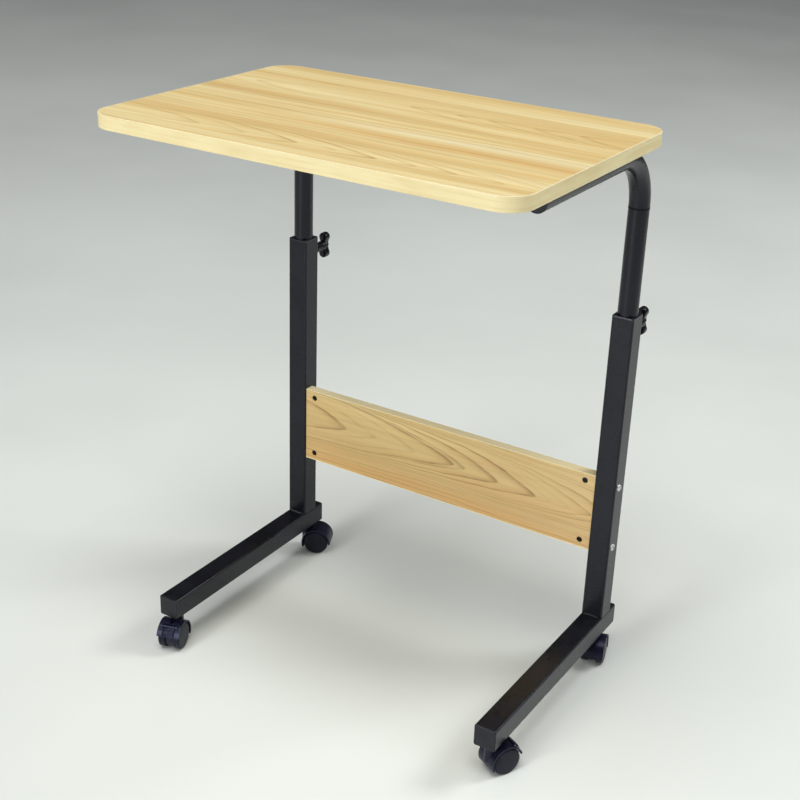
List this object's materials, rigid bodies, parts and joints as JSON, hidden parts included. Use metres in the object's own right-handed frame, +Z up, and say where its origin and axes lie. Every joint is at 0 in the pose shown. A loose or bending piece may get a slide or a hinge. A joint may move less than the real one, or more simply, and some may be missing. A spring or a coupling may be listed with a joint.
{
  "type": "overbed table",
  "caption": "Height-adjustable rolling overbed table: wood-grain top on clamped tube masts, square-tube feet with swivel casters and brakes.",
  "frame": {"origin": "on the floor, under the middle of the table's bounding box", "axes": "+Z up, X along the tabletop's long side, -Y the side that the feet and the tabletop reach out to"},
  "size_m": [0.6, 0.468, 0.806],
  "materials": {
    "tabletop_laminate": "satin laminate, straight pale grain along X",
    "tabletop_edging": "smooth pale edge band",
    "panel_laminate": "satin laminate, tan with cathedral grain",
    "panel_edging": "smooth edge band",
    "zinc_fixings": "bright zinc",
    "black_fixings": "black oxide",
    "frame_fixings": "painted with the frame",
    "frame_powder_coat": "semi-gloss black powder coat",
    "frame_plastic": "black moulded plastic",
    "caster_steel": "plated steel",
    "clamp_thread": "plated steel",
    "knob_plastic": "glossy black moulding",
    "caster_hood_plastic": "black nylon moulding",
    "caster_wheel_plastic": "black nylon tread"
  },
  "bodies": {
    "base_frame": {"left_foot": "frame_powder_coat", "right_foot": "frame_powder_coat", "left_foot_front_cap": "frame_plastic", "left_foot_rear_cap": "frame_plastic", "right_foot_front_cap": "frame_plastic", "right_foot_rear_cap": "frame_plastic", "left_post": "frame_powder_coat", "right_post": "frame_powder_coat", "left_post_bush": "frame_plastic", "right_post_bush": "frame_plastic", "post_welds": "frame_powder_coat", "rear_panel_board": "panel_laminate", "rear_panel_edge_bands": "panel_edging", "panel_bolts": "zinc_fixings", "panel_barrel_nuts": "black_fixings", "left_clamp_nut": "frame_fixings", "right_clamp_nut": "frame_fixings", "foot_weld_nuts": "frame_fixings", "front_left_caster_stem": "caster_steel", "front_right_caster_stem": "caster_steel", "rear_left_caster_stem": "caster_steel", "rear_right_caster_stem": "caster_steel"},
    "lift_frame": {"tabletop_board": "tabletop_laminate", "tabletop_edge_band": "tabletop_edging", "tabletop_screws": "zinc_fixings", "left_mast": "frame_powder_coat", "right_mast": "frame_powder_coat", "left_mast_guide": "frame_plastic", "right_mast_guide": "frame_plastic", "left_mast_end_cap": "frame_plastic", "right_mast_end_cap": "frame_plastic"},
    "left_clamp_screw": {"left_clamp_stud": "clamp_thread"},
    "left_clamp_handle": {"left_clamp_knob": "knob_plastic"},
    "right_clamp_screw": {"right_clamp_stud": "clamp_thread"},
    "right_clamp_handle": {"right_clamp_knob": "knob_plastic"},
    "front_left_swivel": {"front_left_caster_hood": "caster_hood_plastic", "front_left_caster_axle": "caster_steel", "front_left_brake_pin": "caster_steel"},
    "front_left_wheel_a": {"front_left_wheel_a": "caster_wheel_plastic"},
    "front_left_wheel_b": {"front_left_wheel_b": "caster_wheel_plastic"},
    "front_left_brake": {"front_left_brake_lever": "caster_hood_plastic"},
    "front_right_swivel": {"front_right_caster_hood": "caster_hood_plastic", "front_right_caster_axle": "caster_steel", "front_right_brake_pin": "caster_steel"},
    "front_right_wheel_a": {"front_right_wheel_a": "caster_wheel_plastic"},
    "front_right_wheel_b": {"front_right_wheel_b": "caster_wheel_plastic"},
    "front_right_brake": {"front_right_brake_lever": "caster_hood_plastic"},
    "rear_left_swivel": {"rear_left_caster_hood": "caster_hood_plastic", "rear_left_caster_axle": "caster_steel"},
    "rear_left_wheel_a": {"rear_left_wheel_a": "caster_wheel_plastic"},
    "rear_left_wheel_b": {"rear_left_wheel_b": "caster_wheel_plastic"},
    "rear_right_swivel": {"rear_right_caster_hood": "caster_hood_plastic", "rear_right_caster_axle": "caster_steel"},
    "rear_right_wheel_a": {"rear_right_wheel_a": "caster_wheel_plastic"},
    "rear_right_wheel_b": {"rear_right_wheel_b": "caster_wheel_plastic"}
  },
  "joints": [
    {"name": "height_slide", "type": "slide", "parent": "base_frame", "child": "lift_frame", "axis": [0, 0, 1], "range_m": [-0.144, 0.045]},
    {"name": "left_clamp_travel", "type": "slide", "parent": "base_frame", "child": "left_clamp_screw", "axis": [0, 1, 0], "range_m": [0, 0.00156]},
    {"name": "left_clamp_turn", "type": "hinge", "parent": "left_clamp_screw", "child": "left_clamp_handle", "pos_m": [-0.266, 0.222, 0.523], "axis": [0, 1, 0], "range_deg": [0, 450]},
    {"name": "right_clamp_travel", "type": "slide", "parent": "base_frame", "child": "right_clamp_screw", "axis": [0, 1, 0], "range_m": [0, 0.00156]},
    {"name": "right_clamp_turn", "type": "hinge", "parent": "right_clamp_screw", "child": "right_clamp_handle", "pos_m": [0.266, 0.222, 0.523], "axis": [0, 1, 0], "range_deg": [0, 450]},
    {"name": "front_left_swivel_turn", "type": "hinge", "parent": "base_frame", "child": "front_left_swivel", "pos_m": [-0.266, -0.141, 0.04], "axis": [0, 0, 1], "continuous": true},
    {"name": "front_left_wheel_a_spin", "type": "hinge", "parent": "front_left_swivel", "child": "front_left_wheel_a", "pos_m": [-0.26103, -0.15726, 0.02], "axis": [0.9563, 0.2924, 0], "continuous": true},
    {"name": "front_left_wheel_b_spin", "type": "hinge", "parent": "front_left_swivel", "child": "front_left_wheel_b", "pos_m": [-0.26103, -0.15726, 0.02], "axis": [0.9563, 0.2924, 0], "continuous": true},
    {"name": "front_left_brake_press", "type": "hinge", "parent": "front_left_swivel", "child": "front_left_brake", "pos_m": [-0.25737, -0.16922, 0.04001], "axis": [0.9563, 0.2924, 0], "range_deg": [0, 8]},
    {"name": "front_right_swivel_turn", "type": "hinge", "parent": "base_frame", "child": "front_right_swivel", "pos_m": [0.266, -0.141, 0.04], "axis": [0, 0, 1], "continuous": true},
    {"name": "front_right_wheel_a_spin", "type": "hinge", "parent": "front_right_swivel", "child": "front_right_wheel_a", "pos_m": [0.27398, -0.12599, 0.02], "axis": [-0.8829, 0.4695, 0], "continuous": true},
    {"name": "front_right_wheel_b_spin", "type": "hinge", "parent": "front_right_swivel", "child": "front_right_wheel_b", "pos_m": [0.27398, -0.12599, 0.02], "axis": [-0.8829, 0.4695, 0], "continuous": true},
    {"name": "front_right_brake_press", "type": "hinge", "parent": "front_right_swivel", "child": "front_right_brake", "pos_m": [0.27985, -0.11495, 0.04001], "axis": [-0.8829, 0.4695, 0], "range_deg": [0, 8]},
    {"name": "rear_left_swivel_turn", "type": "hinge", "parent": "base_frame", "child": "rear_left_swivel", "pos_m": [-0.266, 0.187, 0.04], "axis": [0, 0, 1], "continuous": true},
    {"name": "rear_left_wheel_a_spin", "type": "hinge", "parent": "rear_left_swivel", "child": "rear_left_wheel_a", "pos_m": [-0.25059, 0.19418, 0.02], "axis": [-0.4226, 0.9063, 0], "continuous": true},
    {"name": "rear_left_wheel_b_spin", "type": "hinge", "parent": "rear_left_swivel", "child": "rear_left_wheel_b", "pos_m": [-0.25059, 0.19418, 0.02], "axis": [-0.4226, 0.9063, 0], "continuous": true},
    {"name": "rear_right_swivel_turn", "type": "hinge", "parent": "base_frame", "child": "rear_right_swivel", "pos_m": [0.266, 0.187, 0.04], "axis": [0, 0, 1], "continuous": true},
    {"name": "rear_right_wheel_a_spin", "type": "hinge", "parent": "rear_right_swivel", "child": "rear_right_wheel_a", "pos_m": [0.27011, 0.1705, 0.02], "axis": [0.9703, 0.2419, 0], "continuous": true},
    {"name": "rear_right_wheel_b_spin", "type": "hinge", "parent": "rear_right_swivel", "child": "rear_right_wheel_b", "pos_m": [0.27011, 0.1705, 0.02], "axis": [0.9703, 0.2419, 0], "continuous": true}
  ],
  "couplings": [
    {"joint": "left_clamp_turn", "follows": "left_clamp_travel", "rad_per_m": 5026.5},
    {"joint": "right_clamp_turn", "follows": "right_clamp_travel", "rad_per_m": 5026.5}
  ]
}
